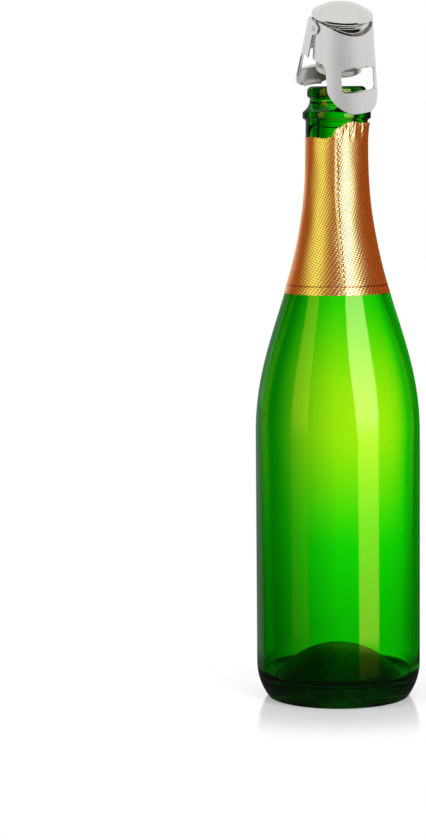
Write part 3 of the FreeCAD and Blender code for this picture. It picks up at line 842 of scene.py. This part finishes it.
def light_colour(g, red, green, blue):
    return g.node("ShaderNodeCombineColor", None, {"Red": red, "Green": green, "Blue": blue})


def stage_plane(name, corners, material):
    mesh = bpy.data.meshes.new(name)
    mesh.from_pydata(corners, [], [(0, 1, 2, 3)])
    plane = new_object(name, mesh, material)
    return plane


def backlight(x):
    """How bright the light behind the glass is from left to right."""
    return 0.28 + x.step(-0.055, 0.015) - x.step(0.042, 0.09) * 0.7


def white_table():
    """Light table: white further off, with shadow and reflection near the bottle; through the glass it shows
    a painted shadow under the bottle and a painted green glow further off, and reflections see a painted
    shadow near it.
    """
    material, g = new_finish("white_table")
    seen, shine, through = ray_kinds(g)
    where = g.place()
    reach = g.node("ShaderNodeVectorMath", {"operation": "LENGTH"}, {0: where}, "Value")
    lit = g.node("ShaderNodeBsdfPrincipled", None, {
        "Base Color": rgb(0.86, 0.86, 0.89),
        "Roughness": 0.12 + g.noise(where, 30.0, 2.0) * 0.04,
        "IOR": 1.8,
        "Emission Color": WHITE,
        "Emission Strength": 0.22})
    x, _, _ = g.parts(where)
    # Seen through the glass: painted shadow under the bottle, painted green glow further off.
    dim = glow(g, 0.02 + backlight(x) * reach.step(0.075, 0.115) * 0.7, rgb(0.05, 0.95, 0.5))
    shown = blend(g, seen * reach.step(0.05, 0.11), lit, glow(g, 1.0))
    # Seen in reflections: painted shadow near the bottle, see-through further off.
    shone = blend(g, reach.step(0.06, 0.16), glow(g, 0.04), see_through(g))
    g.end(blend(g, through, blend(g, shine, shown, shone), dim))
    half = 3.0
    corners = [(-half, -half, 0), (half, -half, 0), (half, half, 0), (-half, half, 0)]
    return stage_plane("white_table", corners, material)


def backlight_card():
    """Card behind the bottle that only the glass sees: green, dim on its left, warm higher up."""
    material, g = new_finish("backlight_card")
    x, _, z = g.parts(g.place())
    level = backlight(x) * (0.7 + z.step(0.0, 0.08) * 0.3)
    middle = x.step(-0.045, 0.01) * (1.0 - x.step(0.032, 0.06))
    warm = middle * z.step(0.05, 0.12) * (1.0 - z.step(0.135, 0.21))
    g.end(glow(g, 1.0, light_colour(g, level * 0.05 + warm * 2.0, level * 0.95 + warm * 0.15, level * 0.5)))
    left, right, back, top = -0.1, 0.11, 0.12, 0.42
    card = stage_plane("backlight_card", [
        (left, back, 0.0), (right, back, 0.0), (right, back, top), (left, back, top)], material)
    for kind in ("camera", "diffuse", "glossy", "shadow", "volume_scatter"):
        setattr(card, f"visible_{kind}", False)


def bearings(g, way):
    """A direction's turn from the camera's side in degrees, right positive, and its x and z."""
    x, y, z = g.parts(way)
    return x.apply("ARCTAN2", -y) * (180.0 / math.pi), x, z


def plain_level(g, way):
    """What every polished surface sees: a dim tent, paler above and behind on the left."""
    turn, _, z = bearings(g, way)
    return (-turn).step(125.0, 140.0) * 0.2 + z.step(0.7, 0.9) * 0.3 + 0.01


def white_tent():
    """White to the camera, a dim tent to polished surfaces, dim to the sides through the glass."""
    world = bpy.data.worlds.new("white_tent")
    bpy.context.scene.world = world
    world.use_nodes = True
    g = Finish(world.node_tree)
    seen, shine, through = ray_kinds(g)
    way = g.node("ShaderNodeTexCoord", None, None, "Generated")
    turn, x, _ = bearings(g, way)
    back = turn.apply("ABSOLUTE").step(115.0, 155.0) * (0.5 + x.step(-0.1, 0.3) * 0.15) + 0.02
    green = rgb(0.12, 0.95, 0.45)
    levels = ((WHITE, 0.55), (WHITE, plain_level(g, way)), (green, back), (WHITE, 1.0))
    skies = [g.node("ShaderNodeBackground", None, {"Color": colour, "Strength": strength})
             for colour, strength in levels]
    mixed = skies[0]
    for kind, sky in zip((shine, through, seen), skies[1:]):
        mixed = blend(g, kind, mixed, sky)
    g.end(mixed, kind="ShaderNodeOutputWorld")


def far_shell(name, radius, colour, pieces):
    """Far round screen that only the reflections of some pieces show, coloured by direction."""
    material, g = new_finish(name)
    material.cycles.emission_sampling = "NONE"
    way = g.node("ShaderNodeVectorMath", {"operation": "NORMALIZE"}, {0: g.place()})
    g.end(g.node("ShaderNodeAddShader", None, {0: see_through(g), 1: glow(g, 1.0, colour(g, way))}))
    work = bmesh.new()
    bmesh.ops.create_uvsphere(work, u_segments=48, v_segments=24, radius=radius)
    mesh = bpy.data.meshes.new(name)
    work.to_mesh(mesh)
    work.free()
    shell = new_object(name, mesh, material)
    for kind in ("camera", "diffuse", "transmission", "shadow", "volume_scatter"):
        setattr(shell, f"visible_{kind}", False)
    shown = bpy.data.collections.new(name + "_pieces")
    for piece in pieces:
        shown.objects.link(piece)
    shell.light_linking.receiver_collection = shown


def strip_lights(g, way):
    """Two tall warm strips, for the glass."""
    turn, _, z = bearings(g, way)
    upright = (1.0 - z.step(0.7, 0.9)) * (1.0 - (-z).step(0.184, 0.193) * 0.92)
    high = z.step(-0.16, 0.1)
    right = (turn - 26.5 + z * 16.0).step(-1.0, 1.0) * (1.0 - turn.step(57.0, 61.0)) * upright
    left = (-turn).step(41.0, 43.0) * (1.0 - (-turn).step(66.0, 70.0)) * upright * (0.15 + high * 0.85)
    return light_colour(
        g,
        right * (4.4 + high * 2.6) + left * 2.2,
        right * (2.9 + high * 2.0) + left * 1.6,
        right * (0.4 + high * 2.6) + left * 0.15)


def foil_strips(g, way):
    """A white strip on the right, a softer yellow one on the left and copper between, for the foil."""
    turn, _, _ = bearings(g, way)
    right = turn.step(6.0, 22.0) * (1.0 - turn.step(38.0, 68.0))
    left = (-turn).step(18.0, 50.0) * (1.0 - (-turn).step(64.0, 96.0))
    rim = (-turn).step(140.0, 154.0) * 0.55 + turn.step(160.0, 168.0) * 0.3
    return light_colour(
        g,
        0.34 + right * 1.85 + left * 0.76 + rim,
        0.075 + right**0.75 * 2.75 + left * 1.28 + rim,
        right**1.4 * 5.2 + left * 0.58 + rim)


def satin_scoop(g, way):
    """Even white all round, a little dimmer towards the camera and dark low on the right, for the arms."""
    turn, _, z = bearings(g, way)
    front = (1.0 - turn.apply("ABSOLUTE").step(0.0, 60.0)) * (1.0 - z.step(0.2, 0.4))
    low = (-z).step(0.36, 0.46) * turn.step(-60.0, -30.0) * (1.0 - turn.step(130.0, 150.0))
    level = (0.82 - front * 0.16) * (1.0 - low * 0.8)
    level = (level - plain_level(g, way)).apply("MAXIMUM", 0.0)
    return light_colour(g, level, level * 0.995, level * 0.985)


def polished_scoop(g, way):
    """White, with a wide dark opening towards the camera and a dark ring low down, for cap and housing."""
    turn, _, z = bearings(g, way)
    away = turn.apply("ABSOLUTE")
    opening = (1.0 - away.step(54.0, 66.0)) * z.step(-0.76, -0.72) * (1.0 - z.step(0.35, 0.5))
    ring = (1.0 - away.step(110.0, 130.0)) * z.step(-0.7, -0.62) * (1.0 - z.step(-0.45, -0.3))
    level = (0.8 + z.step(0.1, 0.3) * 0.06) * (1.0 - opening.apply("MAXIMUM", ring))
    level = (level - plain_level(g, way)).apply("MAXIMUM", 0.0)
    return light_colour(g, level, level * 0.99, level * 0.96)


def beige_scoop(g, way):
    """Even warm grey, for the seal cup."""
    _, _, z = bearings(g, way)
    level = 0.5 + z.step(-0.7, 0.2) * 0.2
    return light_colour(g, level, level * 0.95, level * 0.84)


def table_sky(g, way):
    """Plain white, for the table."""
    return WHITE


def softbox(name, where, power, wide):
    lamp = bpy.data.lights.new(name, "AREA")
    lamp.energy = power
    lamp.size = wide
    holder = bpy.data.objects.new(name, lamp)
    bpy.context.scene.collection.objects.link(holder)
    holder.location = where
    holder.rotation_euler = (Vector((0, 0, 0.16)) - Vector(where)).to_track_quat("-Z", "Y").to_euler()
    holder.visible_glossy = False
    holder.visible_transmission = False


def camera():
    view = bpy.data.cameras.new("camera")
    view.lens = CAMERA_LENS
    view.sensor_width = 36.0
    view.clip_end = 20.0
    holder = bpy.data.objects.new("camera", view)
    bpy.context.scene.collection.objects.link(holder)
    holder.location = CAMERA_PLACE
    turn = Matrix.Rotation(math.radians(CAMERA_TURN), 4, "Z")
    tilt = Matrix.Rotation(math.radians(90.0 - CAMERA_TILT), 4, "X")
    roll = Matrix.Rotation(math.radians(CAMERA_ROLL), 4, "Z")
    holder.rotation_euler = (turn @ tilt @ roll).to_euler()
    bpy.context.scene.camera = holder


table = white_table()
backlight_card()
white_tent()
far_shell("strip_lights", 9.0, strip_lights, [bottle])
far_shell("foil_strips", 8.0, foil_strips, [foil])
stem_parts = [frame["nodes"][node] for node in ("guide_stem", "stem_clip")]
far_shell("satin_scoop", 7.0, satin_scoop, [front_arm, rear_arm, near_pin, far_pin, spring, *stem_parts])
far_shell("polished_scoop", 6.0, polished_scoop, [cap, housing])
far_shell("beige_scoop", 5.0, beige_scoop, [cup])
far_shell("table_sky", 10.0, table_sky, [table])
softbox("key_softbox", (0.7, -0.9, 1.1), 9.0, 0.7)
softbox("fill_softbox", (-0.9, -0.7, 0.9), 4.5, 0.7)
camera()
bpy.context.scene.view_settings.view_transform = "Standard"
bpy.context.view_layer.update()
